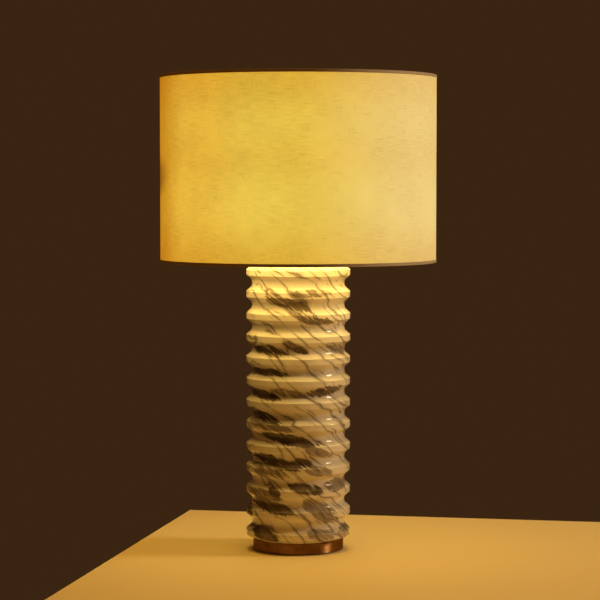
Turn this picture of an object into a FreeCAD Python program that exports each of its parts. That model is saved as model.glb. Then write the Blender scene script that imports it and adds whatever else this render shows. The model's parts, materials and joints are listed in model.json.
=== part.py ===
import FreeCAD, Part
import math
import os
import re
import Sketcher

# Table lamp: a turned marble column on a brass disc, with a linen drum shade on a harp.
# Millimetres, +Z up, origin at the centre of the underside; the switch knob points to the front, -Y.

V = FreeCAD.Vector
UP = V(0, 0, 1)
NEAR = 1e-4

# Driving sizes
SIZES = {
    # Felt pad under the base
    "felt_inset": 4.8,
    "felt_thickness": 1.5,
    # Brass base disc, with the well that hides the clamping nut
    "disc_thickness": 15.3,
    "disc_edge_round": 0.8,
    "disc_foot_round": 0.4,
    "well_radius": 22.0,
    "well_depth": 9.0,
    # Bushing where a cord enters the back of the disc
    "inlet_bore_radius": 2.9,
    "inlet_sleeve_wall": 0.7,
    "inlet_length": 11.0,
    "inlet_flange_radius": 5.2,
    "inlet_flange_thickness": 1.3,
    # Gasket between the disc and the marble
    "gasket_thickness": 0.8,
    "gasket_inset": 1.3,
    "gasket_hole_radius": 20.0,
    # Marble column with its turned ridges
    "ridge_count": 13,
    "ridge_pitch": 32.04,
    "ridge_radius": 76.8,
    "ridge_land": 8.6,
    "ridge_edge_round": 0.9,
    "flank_depth": 7.1,
    "flank_height": 6.3,
    "neck_hollow": 1.3,
    "end_bevel_depth": 10.0,
    "foot_bevel_height": 5.1,
    "top_bevel_height": 6.8,
    "column_bore_radius": 7.0,
    # Threaded pipe that clamps the stack
    "pipe_radius": 5.0,
    "pipe_wall": 1.5,
    "pipe_end_length": 1.0,
    # Washer, lock washer and nut in the well
    "washer_radius": 17.0,
    "washer_thickness": 2.0,
    "lock_washer_radius": 9.0,
    "lock_washer_thickness": 1.6,
    "lock_washer_slit": 1.5,
    "nut_across_flats": 16.0,
    "nut_thickness": 4.0,
    # Brass cap on the column and the spacer above it
    "column_cap_radius": 33.0,
    "column_cap_thickness": 4.0,
    "column_cap_round": 1.5,
    "spacer_radius": 8.0,
    "spacer_collar_radius": 10.5,
    "spacer_collar_height": 2.0,
    "spacer_height": 10.4,
    # Harp saddle
    "leg_spacing": 58.0,
    "saddle_thickness": 1.8,
    "saddle_width": 9.0,
    "saddle_bend_radius": 3.0,
    "saddle_boss_radius": 11.0,
    "saddle_tab_height": 8.3,
    "post_height": 8.0,
    "post_root": 4.0,
    # Harp wire, its crown eye and its lock sleeves
    "wire_radius": 1.9,
    "harp_height": 221.4,
    "harp_half_width_share": 0.2575,
    "harp_flare_share": 0.113,
    "harp_side_share": 0.632,
    "harp_crown_share": 0.158,
    "eye_radius": 8.0,
    "eye_thickness": 4.2,
    "ferrule_radius": 3.4,
    "ferrule_length": 15.0,
    # Swivel stud that carries the shade
    "stud_neck_radius": 2.6,
    "stud_head_radius": 4.2,
    "stud_head_height": 1.4,
    "stud_flange_radius": 7.5,
    "stud_flange_height": 1.8,
    "stud_post_radius": 3.1,
    "stud_post_height": 14.0,
    # Socket cap and shell
    "socket_cap_radius": 17.4,
    "socket_cap_wall": 0.7,
    "socket_cap_height": 21.0,
    "socket_neck_radius": 8.5,
    "socket_neck_height": 6.0,
    "socket_shell_wall": 0.6,
    "socket_shell_start": 15.2,
    "socket_shell_height": 44.0,
    "shell_bead_radius": 17.6,
    "shell_bead_height": 3.0,
    # Paper liner, moulded core and contacts
    "socket_liner_wall": 0.6,
    "socket_liner_height": 42.0,
    "core_height": 20.0,
    "core_flat_distance": 12.0,
    "terminal_radius": 3.2,
    "terminal_thickness": 1.8,
    "screw_shell_wall": 0.5,
    "screw_shell_height": 22.0,
    "screw_shell_hole_radius": 6.0,
    "contact_radius": 3.5,
    "contact_height": 2.0,
    # Rotary switch
    "stem_radius": 2.2,
    "stem_height": 13.5,
    "stem_depth": 8.0,
    "stem_hole_radius": 3.0,
    "stem_length": 26.0,
    "knob_radius": 5.2,
    "knob_length": 14.0,
    "knob_bore_depth": 10.0,
    "knob_flute_count": 12,
    "knob_flute_radius": 0.8,
    # Bulb
    "bulb_tip_radius": 4.5,
    "bulb_tip_height": 1.5,
    "bulb_insulator_radius": 11.0,
    "bulb_insulator_height": 3.5,
    "bulb_cap_radius": 13.05,
    "bulb_cap_height": 22.0,
    "bulb_cap_wall": 0.5,
    "bulb_neck_seat": 4.0,
    "bulb_neck_height": 11.0,
    "bulb_globe_radius": 30.0,
    "bulb_glass_height": 87.0,
    "bulb_glass_wall": 1.0,
    # Drum shade
    "shade_radius": 203.2,
    "shade_height": 274.3,
    "shade_drop": 21.7,
    "fabric_thickness": 0.6,
    "liner_thickness": 0.6,
    "ring_wire_radius": 1.8,
    "hem_thickness": 0.5,
    "hem_height": 4.4,
    # Spider that carries the shade on the stud
    "hub_radius": 13.0,
    "hub_thickness": 2.0,
    "arm_count": 3,
    "arm_wire_radius": 1.6,
    "arm_start": 9.5,
    "arm_bend_radius": 12.0,
    # Finial
    "finial_collar_radius": 6.6,
    "finial_collar_height": 3.0,
    "finial_waist_radius": 4.4,
    "finial_waist_height": 2.6,
    "finial_ball_radius": 7.4,
    "finial_bore_depth": 15.0,
    # Clearances
    "running_clearance": 0.08,
    "fit_clearance": 0.1,
    "hole_clearance": 0.25,
    "bulb_clearance": 0.3,
    "soft_clearance": 0.3,
    "cut_overrun": 5.0,
}

# Places and sizes worked out from the driving sizes
PLACES = {
    "disc_top": "felt_thickness + disc_thickness",
    "column_bottom": "disc_top + gasket_thickness",
    "column_height": "(ridge_count - 1) * ridge_pitch + ridge_land + foot_bevel_height + top_bevel_height",
    "column_top": "column_bottom + column_height",
    "column_end_radius": "ridge_radius - end_bevel_depth",
    "disc_radius": "column_end_radius",
    "felt_radius": "disc_radius - felt_inset",
    "groove_middle": "foot_bevel_height + ridge_land / 2 + ridge_pitch / 2",
    "groove_half_width": "(ridge_pitch - ridge_land) / 2",
    "neck_half_width": "groove_half_width - flank_height",
    "neck_arc_radius": "(neck_half_width ^ 2 + neck_hollow ^ 2) / (2 * neck_hollow)",
    "well_roof": "felt_thickness + well_depth",
    "washer_bottom": "well_roof - washer_thickness",
    "lock_washer_bottom": "washer_bottom - lock_washer_thickness",
    "nut_bottom": "lock_washer_bottom - nut_thickness",
    "pipe_bottom": "nut_bottom - pipe_end_length",
    "pipe_hole_radius": "pipe_radius + hole_clearance",
    "inlet_height": "felt_thickness + well_depth / 2",
    "inlet_sleeve_radius": "inlet_bore_radius + inlet_sleeve_wall",
    "spacer_bottom": "column_top + column_cap_thickness",
    "saddle_bottom": "spacer_bottom + spacer_height",
    "saddle_top": "saddle_bottom + saddle_thickness",
    "pipe_top": "saddle_top + socket_neck_height + socket_cap_wall",
    "leg_x": "leg_spacing / 2",
    "post_top": "saddle_bottom + saddle_tab_height + post_height",
    "ferrule_bottom": "saddle_bottom + saddle_tab_height + soft_clearance",
    "harp_bottom": "post_top + fit_clearance",
    "harp_half_width": "harp_height * harp_half_width_share",
    "harp_flare_radius": "harp_height * harp_flare_share",
    "harp_side_radius": "harp_height * harp_side_share",
    "harp_crown_radius": "harp_height * harp_crown_share",
    "eye_top": "harp_bottom + harp_height + eye_thickness / 2",
    "stud_flange_bottom": "eye_top + fit_clearance",
    "stud_head_top": "eye_top - eye_thickness - fit_clearance",
    "shade_seat": "stud_flange_bottom + stud_flange_height",
    "cap_dome_radius": "socket_cap_radius - socket_neck_radius",
    "shell_bottom": "saddle_top + socket_shell_start",
    "shell_radius": "socket_cap_radius - socket_cap_wall - fit_clearance",
    "bead_sag": "shell_bead_radius - shell_radius",
    "bead_arc_radius": "(shell_bead_height ^ 2 / 4 + bead_sag ^ 2) / (2 * bead_sag)",
    "liner_radius": "shell_radius - socket_shell_wall - fit_clearance",
    "core_radius": "liner_radius - socket_liner_wall - soft_clearance",
    "core_bottom": "shell_bottom + socket_shell_wall",
    "core_top": "core_bottom + core_height",
    "stem_z": "core_bottom + stem_height",
    "screw_shell_radius": "bulb_cap_radius + bulb_clearance + screw_shell_wall",
    "bulb_bottom": "core_top + contact_height + fit_clearance",
    "bulb_insulator_bottom": "bulb_bottom + bulb_tip_height",
    "bulb_cap_bottom": "bulb_insulator_bottom + bulb_insulator_height",
    "bulb_glass_bottom": "bulb_cap_bottom + bulb_cap_height - bulb_neck_seat",
    "bulb_neck_radius": "bulb_cap_radius - bulb_cap_wall - fit_clearance",
    "shade_top": "shade_seat + shade_drop",
    "shade_bottom": "shade_top - shade_height",
    "liner_outer_radius": "shade_radius - fabric_thickness - fit_clearance",
    "liner_inner_radius": "liner_outer_radius - liner_thickness",
    "ring_radius": "liner_inner_radius - fit_clearance - ring_wire_radius",
    "ring_drop": "hem_thickness + fit_clearance + ring_wire_radius",
    "panel_inset": "hem_thickness + fit_clearance",
    "hem_outer_radius": "shade_radius + fit_clearance + hem_thickness",
    "hem_inner_radius": "ring_radius - ring_wire_radius - fit_clearance - hem_thickness",
    "finial_bottom": "shade_seat + hub_thickness + fit_clearance",
    "finial_bore_radius": "stud_post_radius + running_clearance",
}

document = FreeCAD.newDocument("table_lamp")
sizes = document.addObject("Spreadsheet::Sheet", "sizes")
places = document.addObject("Spreadsheet::Sheet", "places")


def fill_sheet(sheet, rows):
    """Write one named cell for each row."""
    for line, (name, content) in enumerate(rows.items(), 1):
        sheet.set(f"A{line}", name)
        sheet.set(f"B{line}", content)
        sheet.setAlias(f"B{line}", name)


def cells(text, own=None):
    """The text with every size and place written as a cell of its sheet."""
    def cell(word):
        name = word.group()
        if name in SIZES:
            return f"sizes.{name}"
        if name in PLACES and own is not places:
            return f"places.{name}"
        return name
    return re.sub(r"[a-z_]+", cell, text)


fill_sheet(sizes, {name: str(number) for name, number in SIZES.items()})
fill_sheet(places, {name: "=" + cells(text, places) for name, text in PLACES.items()})
document.recompute()


def value(text):
    """What an expression in the sizes and places comes to."""
    return float(sizes.evalExpression(cells(text)))


def bind(item, name, text):
    """Tie a property to an expression in the sizes and places."""
    item.setExpression(name, cells(text))


# Bodies and sketches
def new_body(name, height=None):
    """An empty body, with its origin at the named height."""
    body = document.addObject("PartDesign::Body", name)
    body.Label = name
    if height:
        bind(body, "Placement.Base.z", height)
    return body


def new_sketch(body, name, role="XZ_Plane", offset=None):
    """An empty sketch on one of the body's origin planes, or offset from it along its normal."""
    sketch = body.newObject("Sketcher::SketchObject", f"{body.Name}_{name}")
    plane = next(item for item in body.Origin.OriginFeatures if item.Role == role)
    sketch.AttachmentSupport = [(plane, "")]
    sketch.MapMode = "FlatFace"
    if offset:
        bind(sketch, "AttachmentOffset.Base.z", offset)
    return sketch


def hold(sketch, kind, *ends, size=None):
    """Add a constraint, with its size tied to an expression where it has one."""
    if size is None:
        sketch.addConstraint(Sketcher.Constraint(kind, *ends))
        return
    number = sketch.addConstraint(Sketcher.Constraint(kind, *ends, value(size)))
    bind(sketch, f"Constraints[{number}]", size)


def hold_point(sketch, side, end, x, y):
    """Hold one end of a side at two sizes, or on an axis where a size is 0."""
    for kind, axis, size in (("DistanceX", -2, x), ("DistanceY", -1, y)):
        if size == "0":
            hold(sketch, "PointOnObject", side, end, axis)
        else:
            hold(sketch, kind, -1, 1, side, end, size=size)


def bend(start, finish, radius, turn):
    """An arc between two points that turns left or right by less than half a circle."""
    chord = finish - start
    reach = math.sqrt(max(radius ** 2 - (chord.Length / 2) ** 2, 0))
    left = V(-chord.y, chord.x, 0).normalize()
    centre = (start + finish) / 2 + left * (reach if turn == "left" else -reach)
    first, last = (start, finish) if turn == "left" else (finish, start)
    angles = [math.atan2(point.y - centre.y, point.x - centre.x) for point in (first, last)]
    return Part.ArcOfCircle(Part.Circle(centre, UP, radius), *angles)


def outline(sketch, *corners):
    """Draw a closed outline. A corner is its x and y, and where the next side is an arc, radius and turn."""
    points = [V(value(corner[0]), value(corner[1]), 0) for corner in corners]
    ends = []
    for corner, start, finish in zip(corners, points, points[1:] + points[:1]):
        if len(corner) == 2:
            side = sketch.addGeometry(Part.LineSegment(start, finish))
            ends.append((side, 1, 2))
            continue
        radius, turn = corner[2:]
        side = sketch.addGeometry(bend(start, finish, value(radius), turn))
        ends.append((side, 1, 2) if turn == "left" else (side, 2, 1))
    for (side, start, finish), (following, its_start, _) in zip(ends, ends[1:] + ends[:1]):
        hold(sketch, "Coincident", side, finish, following, its_start)
    for corner, (side, start, finish) in zip(corners, ends):
        hold_point(sketch, side, start, *corner[:2])
        if len(corner) == 4:
            hold(sketch, "Radius", side, size=corner[2])


def circle(sketch, radius, x="0", y="0"):
    """Draw a circle whose centre is held like a point."""
    centre = V(value(x), value(y), 0)
    ring = sketch.addGeometry(Part.Circle(centre, UP, value(radius)))
    hold(sketch, "Radius", ring, size=radius)
    hold_point(sketch, ring, 3, x, y)


# Features
def add_feature(body, kind, sketch):
    """A feature of the body that works from a sketch."""
    feature = body.newObject(f"PartDesign::{kind}", f"{sketch.Name}_{kind.lower()}")
    feature.Profile = sketch
    return feature


def pad(body, sketch, length, symmetric=False):
    """Raise a sketch along its normal."""
    feature = add_feature(body, "Pad", sketch)
    bind(feature, "Length", length)
    feature.SideType = "Symmetric" if symmetric else "One side"
    return feature


def pocket(body, sketch, depth=None, reverse=False, symmetric=False):
    """Cut a sketch into the body, right through where it has no depth."""
    feature = add_feature(body, "Pocket", sketch)
    feature.SideType = "Symmetric" if symmetric else "One side"
    feature.Reversed = reverse
    if depth:
        bind(feature, "Length", depth)
    else:
        feature.Type = "ThroughAll"
    return must_change(feature)


def turn(body, sketch, kind="Revolution"):
    """Revolve a sketch about its upright axis, as material or as a cut."""
    feature = add_feature(body, kind, sketch)
    feature.ReferenceAxis = (sketch, ["V_Axis"])
    return feature


def must_change(feature):
    """Stop if a cut has missed the solid."""
    document.recompute()
    if abs(feature.Shape.Volume - feature.BaseFeature.Shape.Volume) < NEAR:
        raise RuntimeError(f"{feature.Name} changes nothing")
    return feature


def round_edges(body, radius, *circles):
    """Fillet the body's round edges, each named by its radius and, where given, its local height."""
    document.recompute()
    feature = body.Tip
    chosen = []
    for number, edge in enumerate(feature.Shape.Edges, 1):
        if not isinstance(edge.Curve, Part.Circle):
            continue
        for size, *height in circles:
            fits = abs(edge.Curve.Radius - value(size)) < NEAR
            level = all(abs(edge.Curve.Center.z - value(text)) < NEAR for text in height)
            if fits and level:
                chosen.append(f"Edge{number}")
    if not chosen:
        raise RuntimeError(f"{feature.Name} has no such edge")
    fillet = body.newObject("PartDesign::Fillet", f"{feature.Name}_round")
    fillet.Base = (feature, chosen)
    bind(fillet, "Radius", radius)


# Simple forms that several pieces share
def disc(name, height, radius, thickness):
    """A plain round plate."""
    body = new_body(name, height)
    sketch = new_sketch(body, "circle", "XY_Plane")
    circle(sketch, radius)
    pad(body, sketch, thickness)
    return body


def tube(name, height, radius, hole, length):
    """A plain ring, washer or pipe."""
    body = new_body(name, height)
    sketch = new_sketch(body, "ring", "XY_Plane")
    circle(sketch, radius)
    circle(sketch, hole)
    pad(body, sketch, length)
    return body


def turned(name, height, *corners):
    """A piece turned from one outline, given as radius and height."""
    body = new_body(name, height)
    sketch = new_sketch(body, "outline")
    outline(sketch, *corners)
    turn(body, sketch)
    return body


# Base
def make_base_disc():
    body = disc("base_disc", "felt_thickness", "disc_radius", "disc_thickness")
    well = new_sketch(body, "well", "XY_Plane")
    circle(well, "well_radius")
    pocket(body, well, "well_depth", reverse=True)
    hole = new_sketch(body, "pipe_hole", "XY_Plane")
    circle(hole, "pipe_hole_radius")
    pocket(body, hole, reverse=True)
    inlet = new_sketch(body, "inlet")
    circle(inlet, "inlet_sleeve_radius + fit_clearance", "0", "well_depth / 2")
    pocket(body, inlet, "disc_radius + cut_overrun")
    round_edges(body, "disc_edge_round", ("disc_radius", "disc_thickness"))
    round_edges(body, "disc_foot_round", ("disc_radius", "0"))


def make_cord_bushing():
    """A flanged sleeve in the back of the disc, turned about its own axis and laid along +Y."""
    body = turned(
        "cord_bushing", "inlet_height",
        ("inlet_bore_radius", "0"),
        ("inlet_sleeve_radius", "0"),
        ("inlet_sleeve_radius", "inlet_length"),
        ("inlet_flange_radius", "inlet_length"),
        ("inlet_flange_radius", "inlet_length + inlet_flange_thickness"),
        ("inlet_bore_radius", "inlet_length + inlet_flange_thickness"))
    body.Placement.Rotation = FreeCAD.Rotation(V(1, 0, 0), -90)
    bind(body, "Placement.Base.y", "disc_radius - inlet_length + fit_clearance")
    round_edges(body, "inlet_flange_thickness / 2",
                ("inlet_flange_radius", "inlet_length + inlet_flange_thickness"))


def make_lock_washer():
    body = tube("lock_washer", "lock_washer_bottom", "lock_washer_radius",
                "pipe_hole_radius", "lock_washer_thickness")
    slit = new_sketch(body, "slit", "XY_Plane")
    outline(slit,
            ("0", "-lock_washer_slit / 2"),
            ("lock_washer_radius + cut_overrun", "-lock_washer_slit / 2"),
            ("lock_washer_radius + cut_overrun", "lock_washer_slit / 2"),
            ("0", "lock_washer_slit / 2"))
    pocket(body, slit, reverse=True)


def make_base_nut():
    """A hexagon nut on the pipe's lower end."""
    hexagon = document.addObject("Part::Prism", "nut_hexagon")
    hexagon.Polygon = 6
    bind(hexagon, "Circumradius", "nut_across_flats / sqrt(3)")
    bind(hexagon, "Height", "nut_thickness")
    hole = document.addObject("Part::Cylinder", "nut_hole")
    bind(hole, "Radius", "pipe_radius + fit_clearance")
    bind(hole, "Height", "nut_thickness + 2 * cut_overrun")
    bind(hole, "Placement.Base.z", "-cut_overrun")
    nut = document.addObject("Part::Cut", "base_nut")
    nut.Base = hexagon
    nut.Tool = hole
    nut.Label = "base_nut"
    bind(nut, "Placement.Base.z", "nut_bottom")


# Column
def make_marble_column():
    """A bevelled blank, one groove turned into it and repeated up the column, with the land edges eased."""
    body = turned(
        "marble_column", "column_bottom",
        ("column_bore_radius", "0"),
        ("column_end_radius", "0"),
        ("ridge_radius", "foot_bevel_height"),
        ("ridge_radius", "column_height - top_bevel_height"),
        ("column_end_radius", "column_height"),
        ("column_bore_radius", "column_height"))
    profile = new_sketch(body, "groove")
    outline(profile,
            ("ridge_radius", "groove_middle + groove_half_width"),
            ("ridge_radius - flank_depth", "groove_middle + neck_half_width", "neck_arc_radius", "left"),
            ("ridge_radius - flank_depth", "groove_middle - neck_half_width"),
            ("ridge_radius", "groove_middle - groove_half_width"),
            ("ridge_radius + cut_overrun", "groove_middle - groove_half_width"),
            ("ridge_radius + cut_overrun", "groove_middle + groove_half_width"))
    groove = must_change(turn(body, profile, "Groove"))
    grooves = body.newObject("PartDesign::LinearPattern", "marble_column_grooves")
    grooves.Originals = [groove]
    grooves.Direction = (profile, ["V_Axis"])
    grooves.Mode = "Spacing"
    bind(grooves, "Offset", "ridge_pitch")
    bind(grooves, "Occurrences", "ridge_count - 1")
    body.Tip = grooves
    round_edges(body, "ridge_edge_round", ("ridge_radius",))


def make_column_cap():
    body = turned(
        "column_cap", "column_top",
        ("pipe_hole_radius", "0"),
        ("column_cap_radius", "0"),
        ("column_cap_radius", "column_cap_thickness"),
        ("pipe_hole_radius", "column_cap_thickness"))
    round_edges(body, "column_cap_round", ("column_cap_radius", "column_cap_thickness"))


def make_neck_spacer():
    turned(
        "neck_spacer", "spacer_bottom",
        ("pipe_hole_radius", "0"),
        ("spacer_collar_radius", "0"),
        ("spacer_collar_radius", "spacer_collar_height"),
        ("spacer_radius", "spacer_collar_height"),
        ("spacer_radius", "spacer_height - spacer_collar_height"),
        ("spacer_collar_radius", "spacer_height - spacer_collar_height"),
        ("spacer_collar_radius", "spacer_height"),
        ("pipe_hole_radius", "spacer_height"))


# Harp
def make_harp_saddle():
    """A strip bent up at both ends, with a round boss for the pipe and a post on each end."""
    body = new_body("harp_saddle", "saddle_bottom")
    strip = new_sketch(body, "strip")
    inner = "leg_x - saddle_thickness / 2"
    outer = "leg_x + saddle_thickness / 2"
    flat = f"{inner} - saddle_bend_radius"
    bend_top = "saddle_thickness + saddle_bend_radius"
    outline(strip,
            (f"-({flat})", "0"),
            (flat, "0", bend_top, "left"),
            (outer, bend_top),
            (outer, "saddle_tab_height"),
            (inner, "saddle_tab_height"),
            (inner, bend_top, "saddle_bend_radius", "right"),
            (flat, "saddle_thickness"),
            (f"-({flat})", "saddle_thickness", "saddle_bend_radius", "right"),
            (f"-({inner})", bend_top),
            (f"-({inner})", "saddle_tab_height"),
            (f"-({outer})", "saddle_tab_height"),
            (f"-({outer})", bend_top, bend_top, "left"))
    pad(body, strip, "saddle_width", symmetric=True)
    boss = new_sketch(body, "boss", "XY_Plane")
    circle(boss, "saddle_boss_radius")
    pad(body, boss, "saddle_thickness")
    posts = new_sketch(body, "posts", "XY_Plane", "saddle_tab_height - post_root")
    circle(posts, "wire_radius", "leg_x")
    circle(posts, "wire_radius", "-leg_x")
    pad(body, posts, "post_root + post_height")
    hole = new_sketch(body, "pipe_hole", "XY_Plane")
    circle(hole, "pipe_hole_radius")
    pocket(body, hole, reverse=True)


def draw_harp_side(sketch):
    """One side of the harp as a tangent chain: straight leg, flare, long side and crown."""
    leg_x, half_width, rise = value("leg_x"), value("harp_half_width"), value("harp_height")
    flare, side, crown = (value(f"harp_{name}_radius") for name in ("flare", "side", "crown"))
    lean = math.acos(1 - (half_width - leg_x) / (flare + side))
    shoulder = math.acos((side - half_width) / (side - crown))
    crown_centre = V(0, rise - crown, 0)
    side_centre = crown_centre - V(math.cos(shoulder), math.sin(shoulder), 0) * (side - crown)
    flare_centre = side_centre + V(math.cos(lean), -math.sin(lean), 0) * (side + flare)
    leg_top = V(leg_x, flare_centre.y, 0)
    leg = sketch.addGeometry(Part.LineSegment(V(leg_x, 0, 0), leg_top))
    arcs = ((flare_centre, flare, math.pi - lean, math.pi),
            (side_centre, side, -lean, shoulder),
            (crown_centre, crown, shoulder, math.pi / 2))
    low, long, top = (sketch.addGeometry(Part.ArcOfCircle(Part.Circle(centre, UP, radius), first, last))
                      for centre, radius, first, last in arcs)
    hold(sketch, "Tangent", leg, 2, low, 2)
    hold(sketch, "Tangent", low, 1, long, 1)
    hold(sketch, "Tangent", long, 2, top, 1)
    hold(sketch, "Vertical", leg)
    hold_point(sketch, leg, 1, "leg_x", "0")
    hold_point(sketch, top, 2, "0", "harp_height")
    hold(sketch, "PointOnObject", top, 3, -2)
    hold(sketch, "DistanceX", -1, 1, long, 3, size="harp_half_width - harp_side_radius")
    for arc, name in ((low, "flare"), (long, "side"), (top, "crown")):
        hold(sketch, "Radius", arc, size=f"harp_{name}_radius")


def sweep(body, sketch, path):
    """A round wire along a path."""
    wire = add_feature(body, "AdditivePipe", sketch)
    wire.Spine = (path, [f"Edge{number + 1}" for number in range(path.GeometryCount)])
    return wire


def make_harp():
    """One swept side, mirrored, with a drilled eye where the two meet."""
    body = new_body("harp", "harp_bottom")
    path = new_sketch(body, "path")
    draw_harp_side(path)
    section = new_sketch(body, "section", "XY_Plane")
    circle(section, "wire_radius", "leg_x")
    side = sweep(body, section, path)
    mirrored = body.newObject("PartDesign::Mirrored", "harp_other_side")
    mirrored.Originals = [side]
    mirrored.MirrorPlane = (path, ["V_Axis"])
    body.Tip = mirrored
    boss = new_sketch(body, "eye", "XY_Plane", "harp_height - eye_thickness / 2")
    circle(boss, "eye_radius")
    pad(body, boss, "eye_thickness")
    hole = new_sketch(body, "eye_hole", "XY_Plane", "harp_height - eye_thickness / 2 - cut_overrun")
    circle(hole, "stud_neck_radius + running_clearance")
    pocket(body, hole, "eye_thickness + 2 * cut_overrun", reverse=True)


def make_harp_ferrule(side, direction):
    """A lock sleeve over the joint between a post and a leg."""
    body = tube(f"harp_ferrule_{side}", "ferrule_bottom", "ferrule_radius",
                "wire_radius + running_clearance", "ferrule_length")
    bind(body, "Placement.Base.x", f"{direction} * leg_x")


def make_harp_stud():
    """A rivet neck and head under the eye, a seat flange above it and the threaded post."""
    neck_top = "stud_flange_bottom - stud_head_top"
    turned(
        "harp_stud", "stud_head_top",
        ("0", "-stud_head_height"),
        ("stud_head_radius", "-stud_head_height"),
        ("stud_head_radius", "0"),
        ("stud_neck_radius", "0"),
        ("stud_neck_radius", neck_top),
        ("stud_flange_radius", neck_top),
        ("stud_flange_radius", f"{neck_top} + stud_flange_height"),
        ("stud_post_radius", f"{neck_top} + stud_flange_height"),
        ("stud_post_radius", f"{neck_top} + stud_flange_height + stud_post_height"),
        ("0", f"{neck_top} + stud_flange_height + stud_post_height"))


# Socket
def make_socket_cap():
    """A spun bowl with a tapped neck."""
    bowl_top = "socket_neck_height + cap_dome_radius"
    turned(
        "socket_cap", "saddle_top",
        ("pipe_radius + fit_clearance", "0"),
        ("socket_neck_radius", "0"),
        ("socket_neck_radius", "socket_neck_height", "cap_dome_radius", "left"),
        ("socket_cap_radius", bowl_top),
        ("socket_cap_radius", "socket_cap_height"),
        ("socket_cap_radius - socket_cap_wall", "socket_cap_height"),
        ("socket_cap_radius - socket_cap_wall", bowl_top, "cap_dome_radius - socket_cap_wall", "right"),
        ("socket_neck_radius", "socket_neck_height + socket_cap_wall"),
        ("pipe_radius + fit_clearance", "socket_neck_height + socket_cap_wall"))


def drill_stem_hole(body, bottom):
    """A hole through the front wall for the switch stem."""
    hole = new_sketch(body, "stem_hole")
    circle(hole, "stem_hole_radius", "0", f"stem_z - {bottom}")
    pocket(body, hole, "shell_radius + cut_overrun", reverse=True)


def make_socket_shell():
    """The brass shell, with a rolled bead round its mouth."""
    bead_bottom = "socket_shell_height - shell_bead_height"
    hole = "shell_radius - socket_shell_wall"
    body = turned(
        "socket_shell", "shell_bottom",
        (hole, "0"),
        ("shell_radius", "0"),
        ("shell_radius", bead_bottom, "bead_arc_radius", "left"),
        ("shell_radius", "socket_shell_height"),
        (hole, "socket_shell_height"))
    drill_stem_hole(body, "shell_bottom")


def make_socket_liner():
    body = tube("socket_liner", "core_bottom", "liner_radius",
                "liner_radius - socket_liner_wall", "socket_liner_height")
    drill_stem_hole(body, "core_bottom")


def make_socket_core():
    """The moulded block, with a flat for each terminal and a blind bore for the stem."""
    body = disc("socket_core", "core_bottom", "core_radius", "core_height")
    flats = new_sketch(body, "flats", "XY_Plane")
    for side in ("", "-"):
        outline(flats,
                (f"{side}core_flat_distance", "-core_radius"),
                (f"{side}(core_radius + cut_overrun)", "-core_radius"),
                (f"{side}(core_radius + cut_overrun)", "core_radius"),
                (f"{side}core_flat_distance", "core_radius"))
    pocket(body, flats, reverse=True)
    bore = new_sketch(body, "stem_bore", "XZ_Plane", "core_radius - stem_depth")
    circle(bore, "stem_radius + running_clearance", "0", "stem_height")
    pocket(body, bore, "stem_depth + cut_overrun", reverse=True)


def make_terminal_screws():
    """The two terminal screw heads, one on each flat of the core."""
    heads = []
    for side, direction in (("left", -1), ("right", 1)):
        head = document.addObject("Part::Cylinder", f"terminal_{side}")
        bind(head, "Radius", "terminal_radius")
        bind(head, "Height", "terminal_thickness")
        head.Placement.Rotation = FreeCAD.Rotation(V(0, 1, 0), 90 * direction)
        bind(head, "Placement.Base.x", f"{direction} * core_flat_distance")
        heads.append(head)
    pair = document.addObject("Part::Compound", "terminal_screws")
    pair.Links = heads
    pair.Label = "terminal_screws"
    bind(pair, "Placement.Base.z", "core_bottom + core_height / 2")


def make_screw_shell():
    """The threaded cup that takes the bulb, drawn plain."""
    turned(
        "screw_shell", "core_top",
        ("screw_shell_hole_radius", "0"),
        ("screw_shell_radius", "0"),
        ("screw_shell_radius", "screw_shell_height"),
        ("screw_shell_radius - screw_shell_wall", "screw_shell_height"),
        ("screw_shell_radius - screw_shell_wall", "screw_shell_wall"),
        ("screw_shell_hole_radius", "screw_shell_wall"))


# Switch
def make_switch():
    """The stem that turns in the core, and its fluted knob."""
    stem = new_body("switch_stem", "stem_z")
    rod = new_sketch(stem, "rod", "XZ_Plane", "core_radius - stem_depth + soft_clearance")
    circle(rod, "stem_radius")
    pad(stem, rod, "stem_length")
    knob = new_body("switch_knob", "stem_z")
    bore_end = "core_radius - stem_depth + soft_clearance + stem_length"
    back = f"{bore_end} - knob_bore_depth"
    block = new_sketch(knob, "block", "XZ_Plane", back)
    circle(block, "knob_radius")
    pad(knob, block, "knob_length")
    bore = new_sketch(knob, "bore", "XZ_Plane", back)
    circle(bore, "stem_radius + fit_clearance")
    pocket(knob, bore, "knob_bore_depth + fit_clearance", reverse=True)
    flute = new_sketch(knob, "flute", "XZ_Plane", back)
    circle(flute, "knob_flute_radius", "knob_radius", "0")
    cut = pocket(knob, flute, "knob_length + cut_overrun", reverse=True)
    flutes = knob.newObject("PartDesign::PolarPattern", "switch_knob_flutes")
    flutes.Originals = [cut]
    flutes.Axis = (flute, ["N_Axis"])
    bind(flutes, "Occurrences", "knob_flute_count")
    knob.Tip = flutes


# Bulb
def make_bulb_cap():
    """The screw cap as a cup with a floor that the insulator closes."""
    turned(
        "bulb_cap", "bulb_cap_bottom",
        ("0", "0"),
        ("bulb_cap_radius", "0"),
        ("bulb_cap_radius", "bulb_cap_height"),
        ("bulb_cap_radius - bulb_cap_wall", "bulb_cap_height"),
        ("bulb_cap_radius - bulb_cap_wall", "bulb_cap_wall"),
        ("0", "bulb_cap_wall"))


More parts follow.
